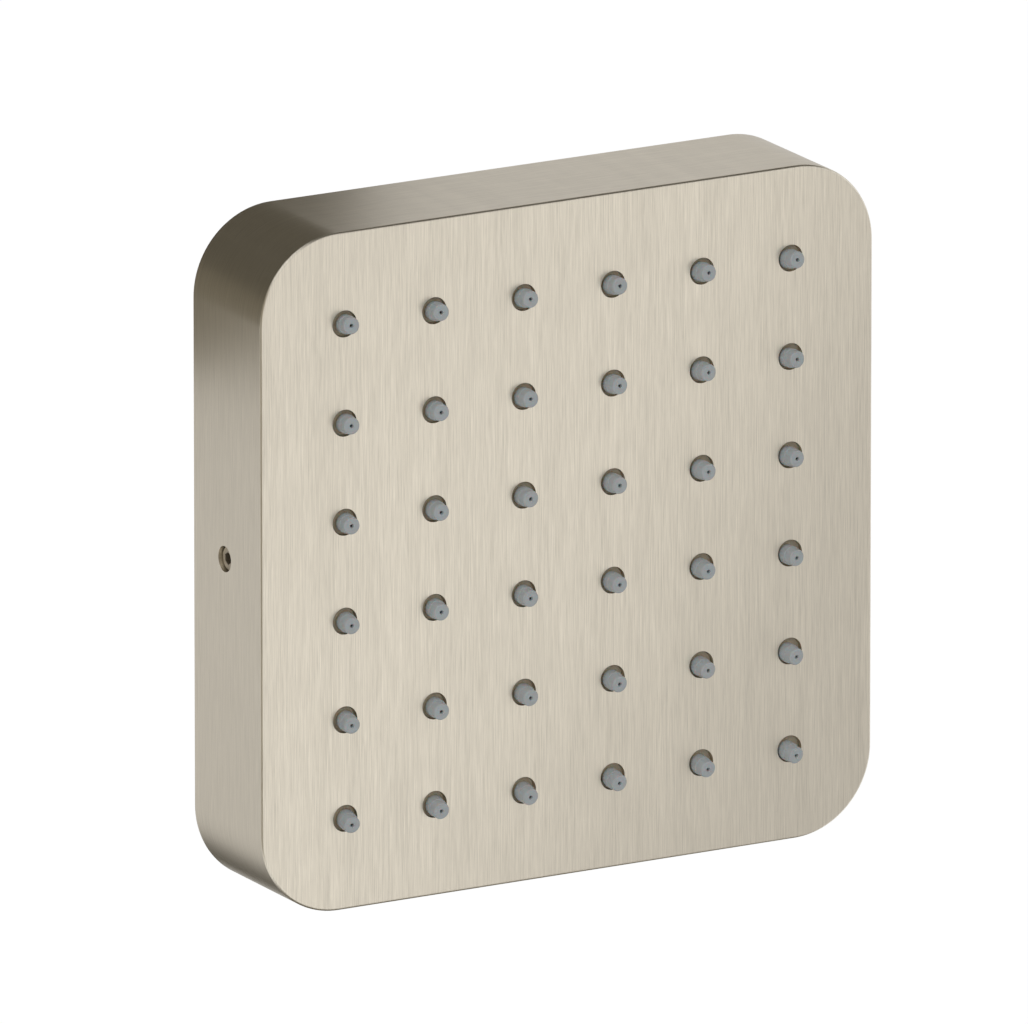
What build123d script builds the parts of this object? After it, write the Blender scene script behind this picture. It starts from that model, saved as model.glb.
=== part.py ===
"""Wall-mounted shower body jet, 120 x 120 mm, with 36 leaning silicone nozzles.

Frame: X to the right as seen from the front, Y into the wall, Z up.
Origin: centre of the wall plane, on the axis of the water inlet.
Levels called "level" are distances from the wall plane towards the bather.
All sizes are in millimetres and degrees.
"""

import os
from math import cos, radians, sin, tan

from build123d import *

# Overall block
width = 120.0
height = 120.0
depth = 24.0
corner_radius = 15.0
front_edge_round = 0.5
rear_edge_break = 0.3

# Shell of the housing
front_wall = 2.0
side_wall = 2.5

# Nozzle field
columns = 6
rows = 6
field_margin = 16.25
hole_radius = 2.35
lean_across = 2.4
lean_upright = 3.0

# Silicone nozzle, measured along its own axis
nozzle_root_radius = 1.72
nozzle_shoulder_radius = 1.66
nozzle_shoulder_height = 0.9
nozzle_tip_root_radius = 1.56
nozzle_tip_radius = 1.48
nozzle_height = 2.5
orifice_radius = 0.3
channel_radius = 1.0
collar_clearance = 0.1
collar_recess = 0.9

# Spray pack behind the front wall
mat_thickness = 1.5
jet_plate_thickness = 2.2
feed_hole_radius = 1.3
chamber_depth = 5.0
cover_thickness = 2.0
pack_margin = 7.0
pack_corner_radius = 7.0
skirt_width = 4.0
rib_width = 1.6
rib_height = 1.5
rib_start = 20.0
rib_count = 8

# Chamber seal
seal_width = 1.6
seal_height = 1.2
seal_inset = 1.1
seal_clearance = 0.3

# Chamber screws, washers, posts and lugs
screw_spread = 28.0
screw_inset = 3.5
post_radius = 2.9
lug_radius = 3.0
screw_shank_radius = 1.2
screw_clearance = 0.3
screw_head_radius = 2.5
screw_head_height = 2.0
screw_grip = 6.2
screw_recess_length = 2.8
screw_recess_width = 0.7
screw_recess_depth = 1.1
post_hole_spare = 0.7
washer_radius = 2.85
washer_thickness = 0.5

# Flow distributor in the chamber
distributor_radius = 13.0
distributor_thickness = 1.0
distributor_foot_radius = 1.2
distributor_foot_height = 1.0
distributor_foot_count = 4
distributor_foot_inset = 3.0

# Inlet socket through the chamber cover
socket_radius = 12.0
socket_flange_radius = 15.0
socket_flange_thickness = 1.5
socket_recess = 2.5
inlet_radius = 9.0
inlet_length = 8.0
inlet_lead_in = 0.8
cartridge_radius = 7.8
cartridge_lip_radius = 6.2
cartridge_lip = 0.6
socket_clearance = 0.3
inlet_gasket_thickness = 0.8
inlet_gasket_radius = 14.7
nut_washer_thickness = 0.8
nut_washer_radius = 16.8
nut_across_flats = 30.0
nut_thickness = 4.0
nut_corner_break = 0.6

# Flow limiter, its ring, strainer and retaining ring inside the socket
cartridge_clearance = 0.3
limiter_thickness = 2.4
limiter_channel_inner = 3.2
limiter_channel_outer = 5.6
limiter_channel_depth = 1.4
limiter_port_radius = 0.7
limiter_port_count = 8
limiter_ring_inner = 3.7
limiter_ring_outer = 5.1
limiter_ring_height = 1.0
strainer_thickness = 1.0
strainer_rim = 1.2
strainer_web = 0.4
strainer_hole_radius = 0.8
strainer_hole_pitch = 2.2
strainer_ring_holes = 6
ring_thickness = 0.8
ring_groove_depth = 0.7
ring_groove_play = 0.05
ring_reach = 0.4
ring_band = 1.3
ring_gap_angle = 50.0
ring_eye_radius = 1.1
ring_eye_hole_radius = 0.5

# Wall plate
plate_thickness = 2.0
plate_width = 92.0
plate_height = 92.0
plate_corner_radius = 8.0
plate_opening_radius = 22.0
slot_spacing_x = 64.0
slot_spacing_z = 64.0
slot_radius = 2.6
slot_length = 10.2
flange_height = 28.0
flange_reach = 14.5
flange_inset = 3.5
flange_bend_radius = 1.0
flange_corner_radius = 3.0

# Grub screw in the left side and the pads inside both side walls
grub_level = 11.0
grub_rise = 1.3
grub_hole_radius = 2.25
grub_clearance = 0.3
grub_recess = 0.7
grub_gap = 0.5
grub_hex_across_flats = 2.0
grub_hex_depth = 2.2
grub_edge_break = 0.3
pad_height = 16.0
pad_depth = 10.0

# Seal frame in the rear rim
wall_seal_thickness = 1.5
wall_seal_rebate = 1.2
wall_seal_clearance = 0.3
wall_seal_overlap = 1.3

# Levels of the stacked pieces, from the front wall back to the wall
mat_front = depth - front_wall
plate_front = mat_front - mat_thickness
chamber_front = plate_front - jet_plate_thickness
cover_front = chamber_front - chamber_depth
cover_back = cover_front - cover_thickness
seal_back = chamber_front - seal_height
washer_back = cover_back - washer_thickness
head_back = washer_back - screw_head_height
flange_back = cover_front + inlet_gasket_thickness
flange_front = flange_back + socket_flange_thickness
nut_front = cover_back - nut_washer_thickness
nut_back = nut_front - nut_thickness
inlet_bottom = socket_recess + inlet_length
lip_back = flange_front - cartridge_lip
limiter_back = lip_back - limiter_thickness
strainer_back = limiter_back - strainer_thickness
ring_back = strainer_back - ring_thickness
foot_back = chamber_front - distributor_foot_height
distributor_back = foot_back - distributor_thickness

# Half sizes seen from the front
half_width = width / 2
half_height = height / 2
inner_half_width = half_width - side_wall
inner_half_height = half_height - side_wall
pack_width = 2 * (inner_half_width - pack_margin)
pack_height = 2 * (inner_half_height - pack_margin)
pitch_x = (width - 2 * field_margin) / (columns - 1)
pitch_z = (height - 2 * field_margin) / (rows - 1)
flange_face = inner_half_width - flange_inset
cartridge_fit_radius = cartridge_radius - cartridge_clearance


def face_plane(level):
    """Plane parallel to the wall at a level, its normal towards the bather."""
    return Plane.XZ.offset(level)


def slab(outline, back, front):
    """Outline drawn as seen from the front, filled between two levels."""
    return extrude(face_plane(back) * outline, front - back)


def disc(radius, back, front):
    """Round plate on the inlet axis."""
    return slab(Circle(radius), back, front)


def ring(outer, inner, back, front):
    """Round ring on the inlet axis."""
    return slab(Circle(outer) - Circle(inner), back, front)


def rounded(wide, high, radius):
    """Rounded rectangle as seen from the front."""
    return RectangleRounded(wide, high, radius)


def frame(wide, high, radius, band):
    """Rounded rectangular frame, the band measured inwards from the outline."""
    return rounded(wide, high, radius) - rounded(wide - 2 * band, high - 2 * band, radius - band)


def nozzle_steps():
    """Column and row steps of every nozzle, counted from the middle of the field."""
    steps = []
    for row in range(rows):
        for column in range(columns):
            steps.append((column - (columns - 1) / 2, row - (rows - 1) / 2))
    return steps


def screw_spots():
    """Places of the chamber screws, two on each side of the block."""
    side_x = inner_half_width - screw_inset
    side_z = inner_half_height - screw_inset
    spots = []
    for sign in (-1, 1):
        for along in (-screw_spread, screw_spread):
            spots.append((along, sign * side_z))
            spots.append((sign * side_x, along))
    return spots


def reach_outwards(x, z, radius, reach):
    """Round end at a screw spot with a web of its width towards the side wall."""
    if abs(x) > abs(z):
        step = reach if x > 0 else -reach
        web = Pos(x + step / 2, z) * Rectangle(reach, 2 * radius)
    else:
        step = reach if z > 0 else -reach
        web = Pos(x, z + step / 2) * Rectangle(2 * radius, reach)
    return Pos(x, z) * Circle(radius) + web


def reach_inwards(x, z, radius, reach):
    """Round end at a screw spot with a web of its width towards the pack."""
    if abs(x) > abs(z):
        step = -reach if x > 0 else reach
        web = Pos(x + step / 2, z) * Rectangle(reach, 2 * radius)
    else:
        step = -reach if z > 0 else reach
        web = Pos(x, z + step / 2) * Rectangle(2 * radius, reach)
    return Pos(x, z) * Circle(radius) + web


def block(x_from, x_to, back, front, z_from, z_to):
    """Upright box between two levels."""
    outline = Pos((x_from + x_to) / 2, (z_from + z_to) / 2) * Rectangle(x_to - x_from, z_to - z_from)
    return slab(outline, back, front)


def grub_seat(x):
    """Plane across the axis of the grub screw, its normal to the right."""
    return Plane(origin=(x, -grub_level, grub_rise), x_dir=(0, 0, 1), z_dir=(1, 0, 0))


def grub_rod(radius, x_from, x_to):
    """Round bar on the axis of the grub screw."""
    return extrude(grub_seat(x_from) * Circle(radius), x_to - x_from)


def make_housing():
    """One-piece shell: rounded block, open at the wall, with its nozzle holes."""
    shell = slab(rounded(width, height, corner_radius), 0, depth)
    shell = fillet(shell.faces().sort_by(Axis.Y)[0].edges(), front_edge_round)
    shell = chamfer(shell.faces().sort_by(Axis.Y)[-1].edges(), rear_edge_break)
    inner_radius = corner_radius - side_wall
    shell -= slab(rounded(2 * inner_half_width, 2 * inner_half_height, inner_radius), 0, mat_front)
    rebate_width = 2 * (inner_half_width + wall_seal_rebate)
    rebate_height = 2 * (inner_half_height + wall_seal_rebate)
    rebate = rounded(rebate_width, rebate_height, inner_radius + wall_seal_rebate)
    shell -= slab(rebate, 0, wall_seal_thickness)
    overlap = side_wall / 2
    posts = Sketch()
    for x, z in screw_spots():
        posts += reach_outwards(x, z, post_radius, screw_inset + overlap)
    shell += slab(posts, cover_front, mat_front + front_wall / 2)
    pad_back = grub_level - pad_depth / 2
    pad_front = grub_level + pad_depth / 2
    left_pad = -flange_face - grub_gap
    shell += block(-half_width + overlap, left_pad, pad_back, pad_front, -pad_height / 2, pad_height / 2)
    shell += block(flange_face, half_width - overlap, pad_back, pad_front, -pad_height / 2, pad_height / 2)
    blind_holes = Sketch()
    for x, z in screw_spots():
        blind_holes += Pos(x, z) * Circle(screw_shank_radius + screw_clearance)
    shell -= slab(blind_holes, cover_front, cover_front + screw_grip + post_hole_spare)
    nozzle_holes = Sketch()
    for step_x, step_z in nozzle_steps():
        nozzle_holes += Pos(step_x * pitch_x, step_z * pitch_z) * Circle(hole_radius)
    shell -= slab(nozzle_holes, mat_front, depth)
    shell -= grub_rod(grub_hole_radius, -half_width, left_pad)
    return shell


def nozzle_lean(step_x, step_z):
    """Sideways and upward run of a nozzle for each millimetre of its height."""
    return tan(radians(step_x * lean_across)), tan(radians(step_z * lean_upright))


def nozzle_seat(step_x, step_z):
    """Place of a nozzle half way through the front wall; its tip lies over the hole's upright middle line."""
    lean_x, lean_z = nozzle_lean(step_x, step_z)
    return step_x * pitch_x - lean_x * (front_wall / 2 + nozzle_height), step_z * pitch_z


def nozzle_axis(step_x, step_z):
    """Leaning frame of one nozzle, seated half way through the front wall."""
    lean_x, lean_z = nozzle_lean(step_x, step_z)
    x, z = nozzle_seat(step_x, step_z)
    return Plane(origin=(x, -(depth - front_wall / 2), z), x_dir=(1, lean_x, 0), z_dir=(lean_x, -1, lean_z))


def make_nozzle_mat():
    """Silicone sheet with a collar in each hole and hollow nozzles fanned outwards from the middle."""
    front = front_wall / 2
    root = -front - mat_thickness / 2
    tip = front + nozzle_height
    shoulder = front + nozzle_shoulder_height
    profile = Polyline(
        (0, root),
        (nozzle_root_radius, root),
        (nozzle_shoulder_radius, shoulder),
        (nozzle_tip_root_radius, shoulder),
        (nozzle_tip_radius, tip),
        (0, tip),
        close=True,
    )
    nozzle = revolve(Plane.XZ * make_face(profile), Axis.Z)
    bottom = -front - 2 * mat_thickness
    bore_points = [(0, bottom), (channel_radius, bottom), (orifice_radius, tip), (0, tip)]
    bore_profile = Polyline(*bore_points, close=True)
    bore = revolve(Plane.XZ * make_face(bore_profile), Axis.Z)
    mat = slab(rounded(pack_width, pack_height, pack_corner_radius), plate_front, mat_front)
    collars = Sketch()
    for step_x, step_z in nozzle_steps():
        collars += Pos(step_x * pitch_x, step_z * pitch_z) * Circle(hole_radius - collar_clearance)
    mat += slab(collars, mat_front, depth - collar_recess)
    places = [nozzle_axis(step_x, step_z) for step_x, step_z in nozzle_steps()]
    mat = mat.fuse(*[place * nozzle for place in places])
    mat = mat.cut(*[place * bore for place in places])
    return mat


def make_jet_plate():
    """Stiff plate that backs the mat and feeds every nozzle."""
    outline = rounded(pack_width, pack_height, pack_corner_radius)
    back_run = front_wall / 2 + mat_thickness + jet_plate_thickness / 2
    for step_x, step_z in nozzle_steps():
        lean_x, lean_z = nozzle_lean(step_x, step_z)
        x, z = nozzle_seat(step_x, step_z)
        outline -= Pos(x - back_run * lean_x, z - back_run * lean_z) * Circle(feed_hole_radius)
    return slab(outline, chamber_front, plate_front)


def make_distributor():
    """Baffle on feet that turns the incoming water sideways."""
    plate = disc(distributor_radius, distributor_back, foot_back)
    foot_circle = distributor_radius - distributor_foot_inset
    for index in range(distributor_foot_count):
        turn = radians(360 / distributor_foot_count * index)
        foot = Pos(foot_circle * cos(turn), foot_circle * sin(turn)) * Circle(distributor_foot_radius)
        plate += slab(foot, foot_back, chamber_front)
    return plate


def seal_frame(extra):
    """Outline of the chamber seal, widened on both edges by a clearance."""
    inset = seal_inset - extra
    band = seal_width + 2 * extra
    return frame(pack_width - 2 * inset, pack_height - 2 * inset, pack_corner_radius - inset, band)


def make_chamber_seal():
    """Flat cord in the groove of the cover."""
    return slab(seal_frame(0), seal_back, chamber_front)


def make_chamber_cover():
    """Back of the water chamber: plate, skirt with seal groove, lugs and ribs."""
    plate = rounded(pack_width, pack_height, pack_corner_radius)
    for x, z in screw_spots():
        plate += reach_inwards(x, z, lug_radius, pack_margin)
    plate -= Circle(socket_radius + socket_clearance)
    for x, z in screw_spots():
        plate -= Pos(x, z) * Circle(screw_shank_radius + screw_clearance)
    cover = slab(plate, cover_back, cover_front)
    skirt = frame(pack_width, pack_height, pack_corner_radius, skirt_width)
    cover += slab(skirt, cover_front, chamber_front)
    cover -= slab(seal_frame(seal_clearance), seal_back, chamber_front)
    rib_reach = min(pack_width, pack_height) / 2 - rib_start
    ribs = Sketch()
    for index in range(rib_count):
        spoke = Pos(rib_start + rib_reach / 2, 0) * Rectangle(rib_reach, rib_width)
        ribs += Rot(0, 0, 360 / rib_count * (index + 0.5)) * spoke
    cover += slab(ribs, cover_back - rib_height, cover_back)
    return cover


def make_chamber_screws():
    """Pan-head screws with cross recesses that clamp the pack to the posts."""
    screws = []
    for x, z in screw_spots():
        screw = slab(Pos(x, z) * Circle(screw_head_radius), head_back, washer_back)
        screw += slab(Pos(x, z) * Circle(screw_shank_radius), washer_back, cover_front + screw_grip)
        bar = Rectangle(screw_recess_length, screw_recess_width)
        cross = bar + Rectangle(screw_recess_width, screw_recess_length)
        screw -= slab(Pos(x, z) * cross, head_back, head_back + screw_recess_depth)
        screws.append(screw)
    return Compound(children=screws)


def make_screw_washers():
    """Plain washers under the chamber screws."""
    washers = []
    for x, z in screw_spots():
        outline = Circle(washer_radius) - Circle(screw_shank_radius + screw_clearance)
        washers.append(slab(Pos(x, z) * outline, washer_back, cover_back))
    return Compound(children=washers)


def make_inlet_socket():
    """Turned socket: flange in the chamber, plug-in bore and cartridge seat."""
    socket = disc(socket_radius, socket_recess, flange_back)
    socket += disc(socket_flange_radius, flange_back, flange_front)
    socket -= disc(inlet_radius, socket_recess, inlet_bottom)
    socket -= disc(cartridge_radius, inlet_bottom, lip_back)
    socket -= disc(cartridge_lip_radius, lip_back, flange_front)
    groove = cartridge_radius + ring_groove_depth
    socket -= disc(groove, ring_back - ring_groove_play, strainer_back)
    mouth = socket.faces().sort_by(Axis.Y)[-1].edges().sort_by(SortBy.LENGTH)[0]
    return chamfer(mouth, inlet_lead_in)


def make_inlet_gasket():
    """Flat gasket between the socket flange and the cover."""
    return ring(inlet_gasket_radius, socket_radius + socket_clearance, cover_front, flange_back)


def make_inlet_washer():
    """Washer between the cover and the lock nut."""
    return ring(nut_washer_radius, socket_radius + socket_clearance, nut_front, cover_back)


def make_inlet_nut():
    """Hexagonal lock nut on the socket."""
    hexagon = RegularPolygon(nut_across_flats / 2, 6, major_radius=False)
    nut = slab(hexagon - Circle(socket_radius + socket_clearance), nut_back, nut_front)
    corner = nut_across_flats / 2 / cos(radians(30))
    cone = Cone(corner - nut_corner_break, corner + nut_thickness - nut_corner_break, nut_thickness)
    cone = Pos(0, -(nut_back + nut_front) / 2, 0) * Rot(90, 0, 0) * cone
    return nut & cone


def make_flow_limiter():
    """Limiter body with a ring channel and its ports."""
    body = disc(cartridge_fit_radius, limiter_back, lip_back)
    channel_floor = limiter_back + limiter_channel_depth
    body -= ring(limiter_channel_outer, limiter_channel_inner, limiter_back, channel_floor)
    port_circle = (limiter_channel_outer + limiter_channel_inner) / 2
    ports = Sketch()
    for index in range(limiter_port_count):
        turn = radians(360 / limiter_port_count * index)
        ports += Pos(port_circle * cos(turn), port_circle * sin(turn)) * Circle(limiter_port_radius)
    return body - slab(ports, limiter_back, lip_back)


def make_limiter_ring():
    """Elastic ring on the floor of the limiter channel."""
    floor = limiter_back + limiter_channel_depth
    return ring(limiter_ring_outer, limiter_ring_inner, floor - limiter_ring_height, floor)


def make_strainer():
    """Perforated disc with a raised rim."""
    body = disc(cartridge_fit_radius, strainer_back, limiter_back)
    well = cartridge_fit_radius - strainer_rim
    body -= disc(well, strainer_back, strainer_back + (strainer_thickness - strainer_web))
    holes = Sketch() + Circle(strainer_hole_radius)
    for layer in (1, 2):
        count = strainer_ring_holes * layer
        for index in range(count):
            turn = radians(360 / count * index)
            reach = strainer_hole_pitch * layer
            holes += Pos(reach * cos(turn), reach * sin(turn)) * Circle(strainer_hole_radius)
    return body - slab(holes, strainer_back, limiter_back)


def make_retaining_ring():
    """Sprung ring with two eyes, open at the top."""
    outer = cartridge_radius + ring_reach
    band = Circle(outer) - Circle(outer - ring_band)
    half_gap = radians(ring_gap_angle / 2)
    far = 2 * outer
    wedge = Polyline((0, 0), (-far * tan(half_gap), far), (far * tan(half_gap), far), close=True)
    band -= make_face(wedge)
    eye_circle = outer - ring_eye_radius - ring_reach
    holes = Sketch()
    for sign in (-1, 1):
        spot = Pos(sign * eye_circle * sin(half_gap), eye_circle * cos(half_gap))
        band += spot * Circle(ring_eye_radius)
        holes += spot * Circle(ring_eye_hole_radius)
    return slab(band - holes, ring_back, strainer_back)


def make_flange(sign):
    """Folded flange of the wall plate on one side."""
    face = sign * flange_face
    back = sign * (flange_face - plate_thickness)
    root = sign * (plate_width / 2 - plate_corner_radius)
    half = flange_height / 2
    foot = block(min(face, root), max(face, root), 0, plate_thickness, -half, half)
    wing = block(min(face, back), max(face, back), 0, flange_reach, -half, half)
    fold = foot + wing
    upright = fold.edges().filter_by(Axis.Z)
    outer = upright.sort_by_distance((face, 0, 0))[0]
    fold = fillet(outer, flange_bend_radius + plate_thickness)
    upright = fold.edges().filter_by(Axis.Z)
    inner = upright.sort_by_distance((back, -plate_thickness, 0))[0]
    fold = fillet(inner, flange_bend_radius)
    tips = fold.faces().sort_by(Axis.Y)[0].edges().filter_by(Axis.X)
    return fillet(tips, flange_corner_radius)


def make_wall_plate():
    """Steel plate screwed to the wall, with slots and two folded flanges."""
    outline = rounded(plate_width, plate_height, plate_corner_radius) - Circle(plate_opening_radius)
    for sign_x in (-1, 1):
        for sign_z in (-1, 1):
            spot = Pos(sign_x * slot_spacing_x / 2, sign_z * slot_spacing_z / 2)
            outline -= spot * SlotOverall(slot_length, 2 * slot_radius)
    plate = slab(outline, 0, plate_thickness)
    return plate + make_flange(-1) + make_flange(1)


def make_wall_seal():
    """Flat seal frame in the rebate of the rear rim."""
    outer_x = inner_half_width + wall_seal_rebate - wall_seal_clearance
    outer_z = inner_half_height + wall_seal_rebate - wall_seal_clearance
    radius = corner_radius - side_wall + wall_seal_rebate - wall_seal_clearance
    band = wall_seal_rebate - wall_seal_clearance + wall_seal_overlap
    return slab(frame(2 * outer_x, 2 * outer_z, radius, band), 0, wall_seal_thickness)


def make_grub_screw():
    """Set screw with a hexagon socket, its end on the flange of the wall plate."""
    head = -half_width + grub_recess
    screw = grub_rod(grub_hole_radius - grub_clearance, head, -flange_face)
    ends = screw.faces().filter_by(Axis.X).edges()
    screw = chamfer(ends, grub_edge_break)
    hexagon = RegularPolygon(grub_hex_across_flats / 2, 6, major_radius=False)
    return screw - extrude(grub_seat(head) * hexagon, grub_hex_depth)


pieces = {
    "housing": make_housing,
    "nozzle_mat": make_nozzle_mat,
    "jet_plate": make_jet_plate,
    "distributor": make_distributor,
    "chamber_seal": make_chamber_seal,
    "chamber_cover": make_chamber_cover,
    "chamber_screws": make_chamber_screws,
    "screw_washers": make_screw_washers,
    "inlet_socket": make_inlet_socket,
    "inlet_gasket": make_inlet_gasket,
    "inlet_washer": make_inlet_washer,
    "inlet_nut": make_inlet_nut,
    "flow_limiter": make_flow_limiter,
    "limiter_ring": make_limiter_ring,
    "strainer": make_strainer,
    "retaining_ring": make_retaining_ring,
    "wall_plate": make_wall_plate,
    "wall_seal": make_wall_seal,
    "grub_screw": make_grub_screw,
}

os.makedirs("parts", exist_ok=True)
for name, make in pieces.items():
    export_step(make(), f"parts/{name}.step")
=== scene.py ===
"""Looks of a square wall-mounted shower body jet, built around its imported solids.

The brushed housing, the silicone nozzle mat and the grub screw are modelled again with
their small edge breaks. The pieces behind them keep their solids and get their finishes.
Sizes are in metres; X points right, Y into the wall and Z up.
"""

import math

import bmesh
import bpy
from bpy.props import FloatProperty, FloatVectorProperty, IntProperty, PointerProperty
from mathutils import Matrix, Vector


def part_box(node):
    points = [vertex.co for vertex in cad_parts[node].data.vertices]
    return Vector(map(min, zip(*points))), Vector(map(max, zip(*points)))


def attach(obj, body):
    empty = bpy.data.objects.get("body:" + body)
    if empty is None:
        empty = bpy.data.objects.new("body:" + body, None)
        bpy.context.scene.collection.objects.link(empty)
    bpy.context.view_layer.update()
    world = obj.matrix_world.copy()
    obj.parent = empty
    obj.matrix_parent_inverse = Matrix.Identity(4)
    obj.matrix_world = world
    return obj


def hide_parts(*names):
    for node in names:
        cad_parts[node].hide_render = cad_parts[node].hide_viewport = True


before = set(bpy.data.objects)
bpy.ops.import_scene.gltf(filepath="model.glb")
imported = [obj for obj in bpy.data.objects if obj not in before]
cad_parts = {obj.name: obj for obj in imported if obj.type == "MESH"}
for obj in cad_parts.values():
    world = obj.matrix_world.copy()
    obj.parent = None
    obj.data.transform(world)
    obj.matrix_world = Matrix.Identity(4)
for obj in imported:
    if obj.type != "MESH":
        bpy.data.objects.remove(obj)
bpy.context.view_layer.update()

bl_info = {
    "name": "Shower body jet",
    "version": (1, 0, 0),
    "blender": (4, 5, 0),
    "location": "View3D > Sidebar > Body jet",
    "description": "Builds the visible pieces and finishes of a square shower body jet",
    "category": "Object",
}

MM = 0.001
NEAR = 0.02 * MM
BLOCK_LOW, BLOCK_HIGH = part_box("housing")
MAT_LOW, MAT_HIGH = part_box("nozzle_mat")
GRUB_LOW, GRUB_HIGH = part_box("grub_screw")
GRUB_LEVEL, GRUB_RISE = (GRUB_LOW.y + GRUB_HIGH.y) / 2, (GRUB_LOW.z + GRUB_HIGH.z) / 2

# Screw posts along the walls, and the pads beside the wall plate, behind the front wall
POST_SPREAD, POST_INSET, POST_RADIUS, POST_BACK = 28 * MM, 3.5 * MM, 2.9 * MM, -13.3 * MM
BLIND_RADIUS, BLIND_BACK, BLIND_FRONT = 1.5 * MM, -13.0 * MM, -20.2 * MM
PAD_BACK, PAD_FRONT, PAD_HALF, PAD_GAP = -6 * MM, -16 * MM, 8 * MM, 0.5 * MM

# How far a cutter runs on past the face that it opens
PAST_FACE, PAST_TIP = 1 * MM, 0.3 * MM

# Colour sockets of a Mix node, whose names are the same for all its data types
MIX_A, MIX_B, MIX_COLOUR = 6, 7, 2


def linear(hex_colour):
    """Linear red, green and blue of an sRGB hex colour."""
    channels = []
    for start in (1, 3, 5):
        value = int(hex_colour[start:start + 2], 16) / 255
        channels.append(value / 12.92 if value <= 0.04045 else ((value + 0.055) / 1.055) ** 2.4)
    return tuple(channels)


class HousingSizes(bpy.types.PropertyGroup):
    """Sizes of the brushed block."""

    width: FloatProperty(name="Width", description="Width of the block",
                         unit="LENGTH", precision=5, default=BLOCK_HIGH.x - BLOCK_LOW.x)
    depth: FloatProperty(name="Depth", description="From the wall to the front face",
                         unit="LENGTH", precision=5, default=BLOCK_HIGH.y - BLOCK_LOW.y)
    height: FloatProperty(name="Height", description="Height of the block",
                          unit="LENGTH", precision=5, default=BLOCK_HIGH.z - BLOCK_LOW.z)
    corner: FloatProperty(name="Corner radius", description="Radius of the four corners",
                          unit="LENGTH", precision=5, default=15 * MM)
    front_round: FloatProperty(name="Front edge", description="Rounding of the front edge",
                               unit="LENGTH", precision=5, default=0.5 * MM)
    rear_break: FloatProperty(name="Rear edge", description="Edge break at the wall",
                              unit="LENGTH", precision=5, default=0.3 * MM)
    rim_break: FloatProperty(name="Hole rims", description="Rounding of the hole rims",
                             unit="LENGTH", precision=5, default=0.05 * MM)
    side_break: FloatProperty(name="Side hole rim", description="Rounding of the side hole's rim",
                              unit="LENGTH", precision=5, default=0.06 * MM)
    front_wall: FloatProperty(name="Front wall", description="Thickness of the front wall",
                              unit="LENGTH", precision=5, default=2 * MM)
    side_wall: FloatProperty(name="Side wall", description="Thickness of the side walls",
                             unit="LENGTH", precision=5, default=2.5 * MM)
    hole_radius: FloatProperty(name="Hole radius", description="Radius of the nozzle holes",
                               unit="LENGTH", precision=5, default=2.35 * MM)
    side_hole: FloatProperty(name="Side hole radius", description="Radius of the grub screw's hole",
                             unit="LENGTH", precision=5, default=2.25 * MM)
    columns: IntProperty(name="Columns", description="Nozzles side by side", default=6, min=1)
    rows: IntProperty(name="Rows", description="Nozzles above each other", default=6, min=1)
    margin: FloatProperty(name="Field margin", description="From the edge to the outer nozzles",
                          unit="LENGTH", precision=5, default=16.25 * MM)


class NozzleSizes(bpy.types.PropertyGroup):
    """Sizes of the silicone mat and of one nozzle, from its seat in the middle of the front wall."""

    mat_corner: FloatProperty(name="Mat corner", description="Corner radius of the mat",
                              unit="LENGTH", precision=5, default=7 * MM)
    root: FloatProperty(name="Root radius", description="Radius inside the hole",
                        unit="LENGTH", precision=5, default=1.72 * MM)
    shoulder: FloatProperty(name="Shoulder radius", description="Radius at the step",
                            unit="LENGTH", precision=5, default=1.66 * MM)
    neck: FloatProperty(name="Neck radius", description="Radius above the step",
                        unit="LENGTH", precision=5, default=1.56 * MM)
    tip: FloatProperty(name="Tip radius", description="Radius at the tip",
                       unit="LENGTH", precision=5, default=1.48 * MM)
    step_height: FloatProperty(name="Step height", description="Step above the front face",
                               unit="LENGTH", precision=5, default=0.9 * MM)
    tip_height: FloatProperty(name="Tip height", description="Tip above the front face",
                              unit="LENGTH", precision=5, default=2.5 * MM)
    tip_round: FloatProperty(name="Tip rounding", description="Rounding of the tip's edge",
                             unit="LENGTH", precision=5, default=0.26 * MM)
    step_round: FloatProperty(name="Step rounding", description="Rounding of the step",
                              unit="LENGTH", precision=5, default=0.06 * MM)
    collar_gap: FloatProperty(name="Collar clearance", description="Gap round the collar in the hole",
                              unit="LENGTH", precision=5, default=0.04 * MM)
    collar_recess: FloatProperty(name="Collar recess", description="Collar below the front face",
                                 unit="LENGTH", precision=5, default=0.9 * MM)
    orifice: FloatProperty(name="Orifice radius", description="Radius of the water outlet",
                           unit="LENGTH", precision=5, default=0.16 * MM)
    mouth: FloatProperty(name="Mouth radius", description="Radius of the hollow round the outlet",
                         unit="LENGTH", precision=5, default=0.38 * MM)
    mouth_depth: FloatProperty(name="Mouth depth", description="Depth of the hollow round the outlet",
                               unit="LENGTH", precision=5, default=0.4 * MM)
    sag: FloatProperty(name="Sag", description="How low the soft nozzles sit in their holes",
                       unit="LENGTH", precision=5, default=0.2 * MM)
    channel: FloatProperty(name="Channel radius", description="Radius of the feed behind the mat",
                           unit="LENGTH", precision=5, default=1.0 * MM)
    lean_across: FloatProperty(name="Lean across", description="Sideways lean from one nozzle to the next",
                               subtype="ANGLE", default=math.radians(2.4))
    lean_upright: FloatProperty(name="Lean upright", description="Upward lean from one nozzle to the next",
                                subtype="ANGLE", default=math.radians(3.0))


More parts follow.
